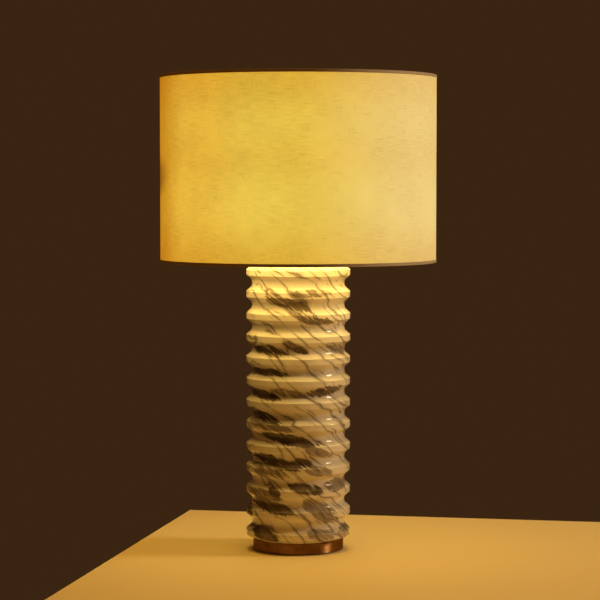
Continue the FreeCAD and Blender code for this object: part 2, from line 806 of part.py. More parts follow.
def draw_bulb(sketch, wall):
    """The bulb's outline set in by a wall: straight neck, hollow shoulder and globe."""
    globe_height = "bulb_glass_height - bulb_globe_radius"
    neck, globe = value(f"bulb_neck_radius - {wall}"), value(f"bulb_globe_radius - {wall}")
    rise = value(f"{globe_height} - bulb_neck_height")
    shoulder = (rise ** 2 + neck ** 2 - globe ** 2) / (2 * (globe - neck))
    centre = V(0, value(globe_height), 0)
    shoulder_centre = V(neck + shoulder, value("bulb_neck_height"), 0)
    slope = math.atan2(centre.y - shoulder_centre.y, centre.x - shoulder_centre.x)
    axis = sketch.addGeometry(Part.LineSegment(centre + V(0, globe, 0), V(0, 0, 0)))
    floor = sketch.addGeometry(Part.LineSegment(V(0, 0, 0), V(neck, 0, 0)))
    side = sketch.addGeometry(Part.LineSegment(V(neck, 0, 0), V(neck, shoulder_centre.y, 0)))
    hollow = sketch.addGeometry(
        Part.ArcOfCircle(Part.Circle(shoulder_centre, UP, shoulder), slope, math.pi))
    ball = sketch.addGeometry(
        Part.ArcOfCircle(Part.Circle(centre, UP, globe), slope - math.pi, math.pi / 2))
    hold(sketch, "Coincident", axis, 2, floor, 1)
    hold(sketch, "Coincident", floor, 2, side, 1)
    hold(sketch, "Tangent", side, 2, hollow, 2)
    hold(sketch, "Tangent", hollow, 1, ball, 1)
    hold(sketch, "Coincident", ball, 2, axis, 1)
    hold(sketch, "Vertical", side)
    hold(sketch, "Coincident", floor, 1, -1, 1)
    hold_point(sketch, floor, 2, f"bulb_neck_radius - {wall}", "0")
    hold(sketch, "DistanceY", -1, 1, side, 2, size="bulb_neck_height")
    hold_point(sketch, ball, 3, "0", globe_height)
    hold_point(sketch, ball, 2, "0", f"bulb_glass_height - {wall}")


def make_bulb_glass():
    """A blown bulb, open where its neck meets the cap."""
    body = new_body("bulb_glass", "bulb_glass_bottom")
    outside = new_sketch(body, "outside")
    draw_bulb(outside, "0")
    turn(body, outside)
    inside = new_sketch(body, "inside")
    draw_bulb(inside, "bulb_glass_wall")
    must_change(turn(body, inside, "Groove"))


# Shade
def make_spider():
    """A hub washer with three wire arms that rise to the rim, each end shaped to the ring it is welded to."""
    body = new_body("spider", "shade_seat")
    body.Placement.Rotation = FreeCAD.Rotation(UP, 90)
    hub = new_sketch(body, "hub", "XY_Plane")
    circle(hub, "hub_radius")
    pad(body, hub, "hub_thickness")
    path = new_sketch(body, "arm_path")
    start = V(value("arm_start"), value("hub_thickness / 2"), 0)
    finish = V(value("ring_radius"), value("shade_drop - ring_drop"), 0)
    radius = value("arm_bend_radius")
    centre = V(finish.x - radius, start.y + radius, 0)
    run = path.addGeometry(Part.LineSegment(start, centre - V(0, radius, 0)))
    arc = path.addGeometry(Part.ArcOfCircle(Part.Circle(centre, UP, radius), -math.pi / 2, 0))
    climb = path.addGeometry(Part.LineSegment(centre + V(radius, 0, 0), finish))
    hold(path, "Tangent", run, 2, arc, 1)
    hold(path, "Tangent", arc, 2, climb, 1)
    hold(path, "Horizontal", run)
    hold(path, "Vertical", climb)
    hold(path, "Radius", arc, size="arm_bend_radius")
    hold_point(path, run, 1, "arm_start", "hub_thickness / 2")
    hold_point(path, climb, 2, "ring_radius", "shade_drop - ring_drop")
    section = new_sketch(body, "arm_section", "YZ_Plane", "arm_start")
    circle(section, "arm_wire_radius", "0", "hub_thickness / 2")
    arm = sweep(body, section, path)
    arms = body.newObject("PartDesign::PolarPattern", "spider_arms")
    arms.Originals = [arm]
    arms.Axis = (hub, ["N_Axis"])
    bind(arms, "Occurrences", "arm_count")
    body.Tip = arms
    ring = new_sketch(body, "ring")
    circle(ring, "ring_wire_radius + fit_clearance", "ring_radius", "shade_drop - ring_drop")
    must_change(turn(body, ring, "Groove"))
    hole = new_sketch(body, "hub_hole", "XY_Plane")
    circle(hole, "stud_post_radius + hole_clearance")
    pocket(body, hole, reverse=True)


def make_shade_ring(name, height):
    """A wire ring that holds one end of the shade round."""
    ring = document.addObject("Part::Torus", name)
    ring.Label = name
    bind(ring, "Radius1", "ring_radius")
    bind(ring, "Radius2", "ring_wire_radius")
    bind(ring, "Placement.Base.z", height)


def make_hem(name, height, up):
    """The bound edge: a channel over the rim and round the ring, opening down or up."""
    mouth = f"{up} * hem_height"
    floor = f"{up} * hem_thickness"
    turned(
        name, height,
        ("hem_inner_radius", "0"),
        ("hem_outer_radius", "0"),
        ("hem_outer_radius", mouth),
        ("hem_outer_radius - hem_thickness", mouth),
        ("hem_outer_radius - hem_thickness", floor),
        ("hem_inner_radius + hem_thickness", floor),
        ("hem_inner_radius + hem_thickness", mouth),
        ("hem_inner_radius", mouth))


def make_finial():
    """A collar, a waist and a ball, bored from below for the stud."""
    neck = "finial_collar_height + finial_waist_height"
    ball_z = f"{neck} + sqrt(finial_ball_radius ^ 2 - finial_waist_radius ^ 2)"
    turned(
        "finial", "finial_bottom",
        ("finial_bore_radius", "0"),
        ("finial_collar_radius", "0"),
        ("finial_collar_radius", "finial_collar_height"),
        ("finial_waist_radius", "finial_collar_height"),
        ("finial_waist_radius", neck, "finial_ball_radius", "left"),
        ("finial_ball_radius", ball_z, "finial_ball_radius", "left"),
        ("0", f"{ball_z} + finial_ball_radius"),
        ("0", "finial_bore_depth"),
        ("finial_bore_radius", "finial_bore_depth"))


# The lamp, from the table up
disc("felt_pad", None, "felt_radius", "felt_thickness")
make_base_disc()
make_cord_bushing()
tube("base_gasket", "disc_top", "disc_radius - gasket_inset", "gasket_hole_radius", "gasket_thickness")
tube("base_washer", "washer_bottom", "washer_radius", "pipe_hole_radius", "washer_thickness")
make_lock_washer()
make_base_nut()
make_marble_column()
tube("lamp_pipe", "pipe_bottom", "pipe_radius", "pipe_radius - pipe_wall", "pipe_top - pipe_bottom")
make_column_cap()
make_neck_spacer()
make_harp_saddle()
make_harp()
for side, direction in (("left", -1), ("right", 1)):
    make_harp_ferrule(side, direction)
make_harp_stud()
make_socket_cap()
make_socket_shell()
make_socket_liner()
make_socket_core()
make_terminal_screws()
make_screw_shell()
disc("center_contact", "core_top", "contact_radius", "contact_height")
make_switch()
disc("bulb_tip", "bulb_bottom", "bulb_tip_radius", "bulb_tip_height")
turned("bulb_insulator", "bulb_insulator_bottom",
       ("0", "0"),
       ("bulb_tip_radius", "0"),
       ("bulb_insulator_radius", "bulb_insulator_height"),
       ("0", "bulb_insulator_height"))
make_bulb_cap()
make_bulb_glass()
make_spider()
make_shade_ring("top_ring", "shade_top - ring_drop")
make_shade_ring("bottom_ring", "shade_bottom + ring_drop")
tube("shade_liner", "shade_bottom + panel_inset", "liner_outer_radius", "liner_inner_radius",
     "shade_height - 2 * panel_inset")
tube("shade_fabric", "shade_bottom + panel_inset", "shade_radius", "shade_radius - fabric_thickness",
     "shade_height - 2 * panel_inset")
make_hem("bottom_hem", "shade_bottom", 1)
make_hem("top_hem", "shade_top", -1)
make_finial()

# Check the whole document, then write each piece
document.recompute()
failed = [item.Name for item in document.Objects if {"Invalid", "Error"} & set(item.State)]
if failed:
    raise RuntimeError(f"failed: {failed}")
inner = {"nut_hexagon", "nut_hole", "terminal_left", "terminal_right"}
pieces = [item for item in document.Objects
          if item.isDerivedFrom("Part::Feature") and item.getParentGeoFeatureGroup() is None
          and item.Name not in inner]
os.makedirs("parts", exist_ok=True)
for piece in pieces:
    shape = piece.Shape
    if shape.isNull() or not shape.isValid() or not shape.Solids:
        raise RuntimeError(f"{piece.Label} is not a valid solid")
    shape.exportStep(f"parts/{piece.Label}.step")
    box = shape.BoundBox
    print(f"{piece.Label:20} solids {len(shape.Solids)}  volume {shape.Volume:12.1f}"
          f"  z {box.ZMin:7.2f} to {box.ZMax:7.2f}")
print(len(pieces), "pieces")
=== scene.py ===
import json
import math

import bmesh
import bpy
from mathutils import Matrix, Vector


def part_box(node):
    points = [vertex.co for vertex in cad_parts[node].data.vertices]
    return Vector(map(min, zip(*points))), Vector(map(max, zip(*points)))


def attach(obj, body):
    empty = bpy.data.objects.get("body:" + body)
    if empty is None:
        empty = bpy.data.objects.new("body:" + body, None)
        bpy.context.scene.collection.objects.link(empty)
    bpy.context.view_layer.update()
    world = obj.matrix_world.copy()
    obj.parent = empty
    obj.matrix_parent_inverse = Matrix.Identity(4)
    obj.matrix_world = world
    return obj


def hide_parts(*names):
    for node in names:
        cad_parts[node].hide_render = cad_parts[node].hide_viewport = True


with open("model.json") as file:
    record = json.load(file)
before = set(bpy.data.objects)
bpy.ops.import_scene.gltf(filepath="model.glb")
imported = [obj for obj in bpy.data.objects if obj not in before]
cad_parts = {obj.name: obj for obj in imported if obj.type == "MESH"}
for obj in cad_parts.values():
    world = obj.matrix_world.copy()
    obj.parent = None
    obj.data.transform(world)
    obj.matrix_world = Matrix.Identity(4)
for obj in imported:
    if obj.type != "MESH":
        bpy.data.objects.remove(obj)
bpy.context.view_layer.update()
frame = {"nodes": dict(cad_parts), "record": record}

# A table lamp: a ridged marble column on a brass disc, with a lit linen drum shade on a harp.
# Metres, +Z up. The photograph looks along +Y.
MM = 0.001
NEAR = 1e-4

shade_low, shade_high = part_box("shade_fabric")
bulb_low, bulb_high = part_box("bulb_glass")
felt_low, felt_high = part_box("felt_pad")


# Materials
class Link:
    """What one socket carries. Arithmetic with numbers and other links becomes Math nodes."""

    def __init__(self, finish, socket):
        self.finish, self.socket = finish, socket

    def maths(self, operation, *values):
        return self.finish.add("Math", {"operation": operation}, dict(enumerate(values)))

    def __add__(self, other):
        return self.maths("ADD", self, other)

    def __sub__(self, other):
        return self.maths("SUBTRACT", self, other)

    def __rsub__(self, other):
        return self.maths("SUBTRACT", other, self)

    def __mul__(self, other):
        return self.maths("MULTIPLY", self, other)

    def __truediv__(self, other):
        return self.maths("DIVIDE", self, other)

    def __pow__(self, other):
        return self.maths("POWER", self, other)

    def __abs__(self):
        return self.maths("ABSOLUTE", self)

    __radd__ = __add__
    __rmul__ = __mul__


class Finish:
    """A material: its shader with the even values, and the nodes that vary the others."""

    def __init__(self, name, **values):
        self.material = bpy.data.materials.new(name)
        self.material.use_nodes = True
        self.tree = self.material.node_tree
        self.shader = next(node for node in self.tree.nodes if node.type == "BSDF_PRINCIPLED")
        self.set(**values)

    def set(self, **values):
        """Give the shader's sockets a value or a link, by their names."""
        for name, value in values.items():
            self.feed(self.shader.inputs[name.replace("_", " ")], value)

    def feed(self, socket, value):
        if isinstance(value, Link):
            self.tree.links.new(value.socket, socket)
        else:
            socket.default_value = value

    def add(self, kind, settings, values, output=0):
        """A node of a kind, with its settings and then its sockets. Gives one of its outputs."""
        node = self.tree.nodes.new("ShaderNode" + kind)
        for name, setting in settings.items():
            setattr(node, name, setting)
        for key, value in values.items():
            self.feed(node.inputs[key], value)
        return Link(self, node.outputs[output])

    # Places
    def place(self):
        """Where a point is on the object, in metres."""
        return self.add("TexCoord", {}, {}, "Object")

    def strip(self):
        """Where a point is on the piece's own flat cloth, in metres."""
        return self.add("UVMap", {"uv_map": "strip"}, {})

    def axes(self, vector):
        first = self.add("SeparateXYZ", {}, {0: vector})
        return [Link(self, socket) for socket in first.socket.node.outputs]

    def combine(self, *parts):
        return self.add("CombineXYZ", {}, dict(enumerate(parts)))

    def vector(self, operation, *values, output="Vector"):
        return self.add("VectorMath", {"operation": operation}, dict(enumerate(values)), output)

    def length(self, vector):
        return self.vector("LENGTH", vector, output="Value")

    def turned(self, vector, degrees, size, move=(0, 0, 0)):
        """The vector seen along turned axes, counted in steps of a size."""
        turn = [math.radians(angle) for angle in degrees]
        return self.add("Mapping", {"vector_type": "TEXTURE"},
                        {0: vector, 1: move, 2: turn, 3: size})

    def shift(self, vector, amount, scale, detail=2.0):
        """The vector pushed about by a noise."""
        push = self.noise(vector, scale, detail, output=1)
        sized = self.vector("MULTIPLY", self.vector("SUBTRACT", push, (0.5, 0.5, 0.5)), amount)
        return self.vector("ADD", vector, sized)

    # Patterns
    def noise(self, vector, scale, detail=2.0, rough=0.5, output=0):
        values = {"Vector": vector, "Scale": scale, "Detail": detail, "Roughness": rough}
        return self.add("TexNoise", {}, values, output)

    def streaks(self, vector, degrees, size, detail=2.0, rough=0.5, move=(0, 0, 0)):
        """A noise with grains of a size along turned axes."""
        return self.noise(self.turned(vector, degrees, size, move), 1.0, detail, rough)

    def cells(self, vector, scale, output="Distance"):
        return self.add("TexVoronoi", {}, {"Vector": vector, "Scale": scale}, output)

    def wave(self, along, pitch, shift=0.0):
        """A sine from -1 to 1, with a pitch in metres."""
        return along.maths("SINE", along * (2 * math.pi / pitch) + shift)

    # Levels, colours and relief
    def rise(self, value, low, high, bottom=0.0, top=1.0):
        """A smooth step from bottom at low to top at high."""
        return self.add("MapRange", {"interpolation_type": "SMOOTHSTEP"},
                        {0: value, 1: low, 2: high, 3: bottom, 4: top})

    def greater(self, first, second):
        return first.maths("MAXIMUM", first, second)

    def blend(self, share, first, second, mode="MIX"):
        """Two colours mixed, by a share of the second."""
        return self.add("Mix", {"data_type": "RGBA", "blend_type": mode},
                        {0: share, 6: first, 7: second}, 2)

    def dimmed(self, colour, by):
        """A colour multiplied by another one."""
        return self.blend(1.0, colour, by, "MULTIPLY")

    def bump(self, height, depth):
        """Turn a height from 0 to 1 into a normal. Depth is in metres."""
        return self.add("Bump", {}, {"Height": height, "Distance": depth, "Strength": 1.0})


# Dark clusters in the stone's face, mostly from the top down: x, z, half length and half width in
# millimetres, and how far they fall to the right, in degrees
# Those on the left lie in the hollows between the ridges and are partly painted shade
DEEP_CLUSTERS_AND_SHADE = (
    (-14, 367, 33, 8, 14), (24, 343, 27, 6, 8), (-44, 300, 31, 8, 14), (-4, 304, 22, 7, 24),
    (-46, 268, 34, 5, 8), (-56, 235, 28, 7, 12), (40, 241, 28, 7, -6), (-52, 203, 30, 7, 20),
    (-14, 170, 46, 8, 9), (-34, 138, 38, 8, 14), (7, 137, 14, 6, 20), (-37, 94, 9, 8, 30),
    (10, 99, 26, 8, 12), (-42, 72, 38, 9, 12), (-76, 60, 8, 12, 0), (-50, 30, 24, 9, 14),
)
PALE_CLUSTERS = (
    (18, 382, 32, 6, 0), (-38, 383, 14, 6, 20), (2, 352, 24, 7, 20), (56, 301, 16, 8, 30),
    (-12, 238, 30, 6, 6), (-40, 189, 40, 6, 8), (28, 151, 20, 8, 20), (-42, 125, 26, 8, 20),
    (28, 124, 22, 7, 8), (18, 74, 14, 10, 40), (38, 62, 24, 14, 40), (-50, 88, 26, 9, 12),
    (34, 30, 22, 9, 8), (68, 32, 8, 11, 0), (56, 103, 22, 9, -8),
)
# The clusters lie on a round face just outside the stone, and reach this deep into it
CLUSTER_FACE_MM = 78
CLUSTER_DEPTH_MM = 75


def marble():
    """Cream stone with brown veins that fall to the right, and clusters of dark streaks."""
    stone = Finish("marble", Specular_IOR_Level=0.5, IOR=1.5, Coat_Roughness=0.07)
    point = stone.place()
    _, depth, height = stone.axes(point)
    front = stone.rise(depth, 0.0, -0.03)
    bent = stone.shift(point, (0.014, 0.014, 0.011), 11.0, 3.0)
    kinked = stone.shift(bent, (0.0032, 0.0032, 0.0028), 85.0)
    # The veins lie in folds, so that they also fall on the sides
    behind = depth + 0.077
    folded = stone.vector("ADD", kinked, stone.combine(0.0, 0.0, behind * behind * 4.5))

    def veins(tilt, fall, turn, spacing, sway, width):
        """Lines a spacing apart, pushed about by a sway. From 1 on a line to 0 beside it."""
        across = stone.turned(folded, (tilt, fall, turn), (spacing, spacing, spacing))
        _, _, count = stone.axes(across)
        count = count + sway
        away = abs(count.maths("FRACT", count) - 0.5) - width
        sides = stone.rise(away, 0.0034 / spacing, -0.0004 / spacing, 0.0, 0.4)
        sides = sides * stone.rise(width, -0.005, 0.02)
        return stone.greater(stone.rise(away, 0.0004 / spacing, -0.0002 / spacing), sides)

    def cluster_field(clusters):
        """From 1 in the middle of a cluster to 0 at its edge."""
        field = None
        for x, z, length, width, fall in clusters:
            place = (x * MM, -math.sqrt(CLUSTER_FACE_MM ** 2 - x ** 2) * MM, z * MM)
            size = (length * MM, CLUSTER_DEPTH_MM * MM, width * MM)
            reach = stone.length(stone.turned(kinked, (0, fall, 0), size, place))
            field = reach if field is None else reach.maths("MINIMUM", field, reach)
        return stone.rise(field, 1.4, 0.65)

    # How dark the stone is: clusters, partly painted shade on the left, and a slow noise all round
    cloud = stone.streaks(bent, (0, 24, 10), (0.085, 0.06, 0.026), move=(0.3, 0.1, 0.2))
    other_sides = stone.rise(cloud, 0.54, 0.66) * (1 - front)
    deep = stone.greater(cluster_field(DEEP_CLUSTERS_AND_SHADE), other_sides)
    pale = cluster_field(PALE_CLUSTERS)
    dark = stone.greater(deep, pale * 0.82)
    # Streaks along the veins, which fill the dark places and thin out at their ends
    streak = stone.streaks(folded, (12, 37, 6), (0.038, 0.02, 0.0027), 3.0, 0.6, (0.11, 0.2, 0.3))
    over = streak - (0.73 - dark * stone.rise(height, 0.30, 0.20, 0.31, 0.36))
    smear = stone.rise(dark, 0.1, 0.8) * stone.rise(over, -0.16, 0.02, 0.15, 0.75)
    filled = stone.rise(over, -0.006, 0.016)
    border = filled - stone.rise(over, 0.02, 0.06)
    # Long veins, others beside them, and short steep ones near the dark places, which all thin out
    run = stone.noise(bent, 30.0, 3.0)
    sway = stone.streaks(bent, (0, 40, 0), (0.11, 0.06, 0.05))
    thin = stone.streaks(bent, (0, 40, 0), (0.05, 0.04, 0.02), move=(0.2, 0.5, 0.1))
    vein = veins(15, 41, 8, 0.023, sway * 2.1, stone.rise(run, 0.3, 0.72, -0.008, 0.068))
    second = veins(-9, 36, -6, 0.017, sway * 2.6, stone.rise(thin, 0.42, 0.72, -0.02, 0.070))
    near_dark = stone.rise(run + dark * 0.2, 0.54, 0.8, -0.06, 0.08)
    hair = veins(18, 54, 12, 0.0105, sway * 3.0, near_dark)
    # The ground: cream with sand and tan clouds, and whiter near the top as painted light
    sandy = stone.rise(stone.noise(bent, 9.0, 3.0), 0.35, 0.7)
    tanned = stone.rise(stone.noise(point, 48.0, 4.0), 0.45, 0.8, 0.0, 0.3)
    ground = stone.blend(sandy, (0.86, 0.80, 0.71, 1), (0.78, 0.69, 0.57, 1))
    ground = stone.blend(tanned, ground, (0.66, 0.57, 0.45, 1))
    ground = stone.blend(stone.rise(height, 0.29, 0.4, 0.0, 0.85), ground, (0.9, 0.84, 0.82, 1))
    # On the left the fill is partly painted shade, in the hollows between the ridges
    # The dark fill: near black to brown, paler near the top and in the pale clusters
    smoke = stone.streaks(kinked, (0, 35, 0), (0.05, 0.03, 0.012), 3.0)
    fill = stone.blend(stone.rise(smoke, 0.35, 0.65), (0.058, 0.041, 0.022, 1), (0.2, 0.15, 0.1, 1))
    fill = stone.blend(stone.rise(height, 0.27, 0.36, 0.0, 0.6), fill, (0.27, 0.19, 0.12, 1))
    fill = stone.blend(stone.rise(deep - pale, 0.0, -0.5), fill, (0.33, 0.27, 0.21, 1))
    # Smear, fill, the fill's border and the veins over the ground
    colour = stone.blend(smear, ground, (0.43, 0.33, 0.23, 1))
    colour = stone.blend(filled, colour, fill)
    colour = stone.blend(border * 0.35, colour, (0.06, 0.042, 0.028, 1))
    colour = stone.blend(stone.greater(vein, second) * 0.74, colour, (0.115, 0.075, 0.045, 1))
    colour = stone.blend(hair * 0.7, colour, (0.14, 0.095, 0.06, 1))
    # The polish is duller towards the top
    grain = stone.noise(point, 900.0, 3.0)
    polish = stone.rise(grain, 0.2, 0.8, 0.22, 0.15) * stone.rise(height, 0.36, 0.23, 0.2, 1.0)
    stone.set(
        Base_Color=colour,
        Roughness=stone.rise(grain + 0.5 * filled, 0.3, 1.2, 0.16, 0.28),
        Coat_Weight=polish,
        Normal=stone.bump(grain * 0.4 + (1 - vein) * 0.6, 0.00005))
    return stone.material


def brass(name, light, dull, tarnish, rough, spots, brushed):
    """Turned brass: fine rings from the tool, lacquer worn dull in clouds, and dark spots."""
    metal = Finish(name, Metallic=1.0, Anisotropic=brushed, Anisotropic_Rotation=0.25,
                   Specular_Tint=(0.8, 0.6, 0.45, 1))
    point = metal.place()
    x, y, z = metal.axes(point)
    reach = (x * x + y * y) ** 0.5
    rings = metal.noise(metal.combine(reach * 4200, z * 4200), 1.0)
    cloud = metal.noise(point, 38.0, 4.0, 0.6)
    speck = metal.rise(metal.noise(point, 420.0, 3.0, 0.6), 0.66, 0.74) * spots
    worn = metal.rise(cloud + 0.25 * rings, 0.42, 0.8)
    metal.set(
        Base_Color=metal.blend(speck, metal.blend(worn, light, dull), tarnish),
        Roughness=metal.rise(worn + 0.5 * rings + speck, 0.1, 1.5, rough, rough + 0.12),
        Normal=metal.bump(rings, 0.00003))
    return metal.material


def plated_steel():
    """Zinc plated steel with a faint spangle."""
    metal = Finish("zinc_steel", Metallic=1.0)
    point = metal.place()
    spangle = metal.axes(metal.cells(point, 420.0, "Color"))[0]
    cloud = metal.noise(point, 90.0, 4.0)
    metal.set(
        Base_Color=metal.blend(
            spangle * 0.6 + cloud * 0.4, (0.52, 0.53, 0.54, 1), (0.68, 0.68, 0.67, 1)),
        Roughness=metal.rise(cloud, 0.3, 0.7, 0.3, 0.48),
        Normal=metal.bump(spangle, 0.00002))
    return metal.material


def bulb_aluminium():
    """Pressed aluminium with the bright and dull bands of its thread."""
    metal = Finish("bulb_metal", Metallic=1.0)
    point = metal.place()
    _, _, z = metal.axes(point)
    thread = metal.wave(z, 3.6 * MM)
    cloud = metal.noise(point, 160.0, 4.0)
    metal.set(
        Base_Color=metal.blend(cloud, (0.62, 0.61, 0.58, 1), (0.8, 0.79, 0.76, 1)),
        Roughness=metal.rise(cloud, 0.3, 0.7, 0.24, 0.4),
        Normal=metal.bump(thread * 0.5 + 0.5, 0.0006))
    return metal.material


def moulded(name, colour, other, rough, grain_depth):
    """Moulded plastic with a fine grain and slight mottling."""
    plastic = Finish(name)
    point = plastic.place()
    mottle = plastic.noise(point, 70.0, 4.0)
    grain = plastic.noise(point, 2600.0)
    plastic.set(
        Base_Color=plastic.blend(mottle, colour, other),
        Roughness=plastic.rise(mottle, 0.3, 0.7, rough, rough + 0.12),
        Normal=plastic.bump(grain, grain_depth))
    return plastic.material


def insulator_glass():
    """Black glass with a few bubbles."""
    glass = Finish("bulb_insulator")
    bubble = glass.rise(glass.cells(glass.place(), 900.0), 0.25, 0.1)
    glass.set(
        Base_Color=glass.blend(bubble, (0.012, 0.012, 0.016, 1), (0.06, 0.06, 0.07, 1)),
        Roughness=glass.rise(bubble, 0.0, 1.0, 0.08, 0.3))
    return glass.material


def pressed_paper():
    """Grey brown insulating board with fibres."""
    paper = Finish("insulating_paper")
    fibre = paper.streaks(paper.place(), (20, 35, 10), (0.0008, 0.0001, 0.0001), 3.0)
    paper.set(
        Base_Color=paper.blend(fibre, (0.34, 0.26, 0.17, 1), (0.5, 0.41, 0.29, 1)),
        Roughness=paper.rise(fibre, 0.2, 0.8, 0.75, 0.95),
        Normal=paper.bump(fibre, 0.00004))
    return paper.material


def lit_bulb():
    """Frosted glass, brightest round the middle of the globe and darker at the neck."""
    glass = Finish("bulb_glass", Base_Color=(0.92, 0.88, 0.8, 1), Emission_Strength=5.0)
    point = glass.place()
    _, _, z = glass.axes(point)
    frost = glass.noise(point, 1800.0)
    glow = glass.rise(z, bulb_low.z + 20 * MM, bulb_high.z - 35 * MM)
    glass.set(
        Emission_Color=glass.blend(glow, (0.6, 0.3, 0.07, 1), (1.0, 0.76, 0.36, 1)),
        Roughness=glass.rise(frost, 0.3, 0.7, 0.45, 0.6),
        Normal=glass.bump(frost, 0.00002))
    return glass.material


def enamelled_wire():
    """White enamel, thinner and yellowed in places."""
    wire = Finish("shade_wire", Coat_Weight=0.3)
    point = wire.place()
    patch = wire.noise(point, 30.0, 5.0, 0.65)
    chip = wire.rise(wire.noise(point, 260.0, 3.0), 0.72, 0.76)
    colour = wire.blend(wire.rise(patch, 0.4, 0.7), (0.78, 0.76, 0.7, 1), (0.66, 0.6, 0.48, 1))
    wire.set(
        Base_Color=wire.blend(chip, colour, (0.2, 0.13, 0.08, 1)),
        Roughness=wire.rise(patch + chip, 0.3, 1.2, 0.28, 0.6),
        Normal=wire.bump(1 - chip, 0.0001))
    return wire.material


def lit_liner():
    """The white sheet inside the shade, with a painted glow that is weaker at its lower edge."""
    sheet = Finish("shade_liner", Specular_IOR_Level=0.3, Emission_Strength=1.0)
    point = sheet.place()
    x, _, z = sheet.axes(point)
    cloud = sheet.noise(point, 25.0, 3.0)
    lower = sheet.rise(z + cloud * 0.02, 0.56, 0.47)
    # Painted light: the glow is paler on the right, where the room's light comes through
    light = sheet.blend(sheet.rise(x, -0.15, 0.15), (1.0, 0.69, 0.14, 1), (1.0, 0.80, 0.27, 1))
    sheet.set(
        Base_Color=sheet.blend(cloud, (0.84, 0.80, 0.72, 1), (0.78, 0.73, 0.64, 1)),
        Emission_Color=sheet.blend(lower, light, sheet.dimmed(light, (0.5, 0.5, 0.5, 1))),
        Roughness=sheet.rise(cloud, 0.3, 0.7, 0.42, 0.55),
        Normal=sheet.bump(cloud, 0.0003))
    return sheet.material


YARN_PITCH = 0.62 * MM


def linen(name, glow, base, other):
    """Plain weave linen with thick and thin yarns. Where it glows, the yarns' knots stay darker."""
    cloth = Finish(name, Sheen_Weight=0.15, Sheen_Roughness=0.5, Specular_IOR_Level=0.2,
                   Emission_Strength=1.05)
    strip = cloth.strip()
    u, v, _ = cloth.axes(strip)
    # Yarns: the weft runs round the shade and the warp up it
    wander = cloth.noise(strip, 60.0) * 4.5
    weave = cloth.wave(v, YARN_PITCH, wander) * cloth.wave(u, YARN_PITCH, wander) * 0.5 + 0.5
    # Slubs: stretches of thicker yarn
    weft_slub = cloth.streaks(strip, (0, 0, 0), (0.022, 0.00085, 1.0), 2.0, 0.55)
    warp_slub = cloth.streaks(strip, (0, 0, 0), (0.00085, 0.016, 1.0), 2.0, 0.55)
    thick = cloth.rise(weft_slub, 0.56, 0.78)
    upright_thick = cloth.rise(warp_slub, 0.6, 0.82)
    knot = cloth.rise(cloth.streaks(strip, (0, 0, 0), (0.0026, 0.0011, 1.0), 1.0), 0.70, 0.76)
    fleck = cloth.rise(cloth.noise(strip, 210.0, 4.0, 0.6), 0.35, 0.7)
    slub = cloth.greater(thick, upright_thick * 0.7)
    yarn = weft_slub * 0.6 + warp_slub * 0.4
    patch = cloth.rise(cloth.noise(strip, 13.0, 3.0), 0.35, 0.65, -0.06, 0.04)
    # Colour without light
    colour = cloth.blend(cloth.rise(yarn, 0.35, 0.65), base, other)
    colour = cloth.blend(slub * 0.25 + knot * 0.4, colour, (0.33, 0.23, 0.12, 1))
    # Light that comes through
    shine = cloth.rise(yarn + fleck * 0.06, 0.36, 0.68, 1.14, 0.88)
    shine = shine - thick * 0.17 - upright_thick * 0.12 - knot * 0.4 + weave * 0.06 + patch
    light = cloth.combine(shine - slub * 0.03, shine, shine - slub * 0.04)
    cloth.set(
        Base_Color=colour,
        Emission_Color=cloth.dimmed(glow(cloth), light),
        Roughness=cloth.rise(yarn, 0.3, 0.7, 0.82, 0.95),
        Normal=cloth.bump(weave * 0.5 + slub * 0.4 + knot * 0.4, 0.00012))
    return cloth.material


def cover_glow(cloth):
    """The bulb's light on the linen: two soft bands, with painted shade on the left side."""
    point = cloth.place()
    x, _, z = cloth.axes(point)
    side = x / shade_high.x
    # Painted shade: the glow is redder and darker towards the left, away from the room's light
    left, middle, right, edge = ((0.685, 0.42, 0.043, 1), (0.625, 0.462, 0.060, 1),
                                 (0.445, 0.366, 0.116, 1), (0.53, 0.235, 0.008, 1))
    colour = cloth.blend(cloth.rise(side, -0.75, -0.25), left, middle)
    colour = cloth.blend(cloth.rise(side, -0.05, 0.9), colour, right)
    colour = cloth.blend(cloth.rise(side, -0.78, -1.0), colour, edge)
    # Brightest a little under the bulb, with a fainter band where its neck and globe meet
    upper = cloth.rise(z, 0.71, 0.62) * cloth.rise(z, 0.55, 0.60, 1.0, 0.8)
    lower = cloth.rise(z, 0.415, 0.51)
    parting = 1 - 0.28 * cloth.rise(abs(z - 0.573), 0.045, 0.0)
    faint = cloth.dimmed(colour, (0.87, 0.72, 0.48, 1))
    colour = cloth.blend(upper * lower * parting, faint, colour)
    # The harp bulges towards the cloth here, and shades it
    reach = cloth.length(cloth.turned(point, (0, 0, 0), (0.15, 0.074, 0.032), (-0.2032, 0, 0.5525)))
    return cloth.blend(cloth.rise(reach, 1.25, 0.4), colour, (0.25, 0.095, 0.002, 1))


def hem_glow(cloth):
    """Four layers of cloth over the wire let little light through; the right has painted light."""
    x, _, _ = cloth.axes(cloth.place())
    # Painted light: brighter on the right, where the room's light falls
    return cloth.blend(cloth.rise(x, 0.02, 0.17), (0.03, 0.008, 0.001, 1), (0.21, 0.12, 0.048, 1))


def felt():
    """Short brown fibres pressed flat."""
    pile = Finish("felt", Sheen_Weight=0.4, Sheen_Roughness=0.6)
    point = pile.place()
    fibre = pile.noise(pile.shift(point, (0.002, 0.002, 0.002), 300.0), 1400.0, 4.0, 0.7)
    cloud = pile.noise(point, 60.0, 3.0)
    pile.set(
        Base_Color=pile.blend(
            fibre * 0.7 + cloud * 0.3, (0.05, 0.034, 0.022, 1), (0.12, 0.085, 0.055, 1)),
        Roughness=pile.rise(fibre, 0.3, 0.7, 0.9, 1.0),
        Normal=pile.bump(fibre, 0.0003))
    return pile.material


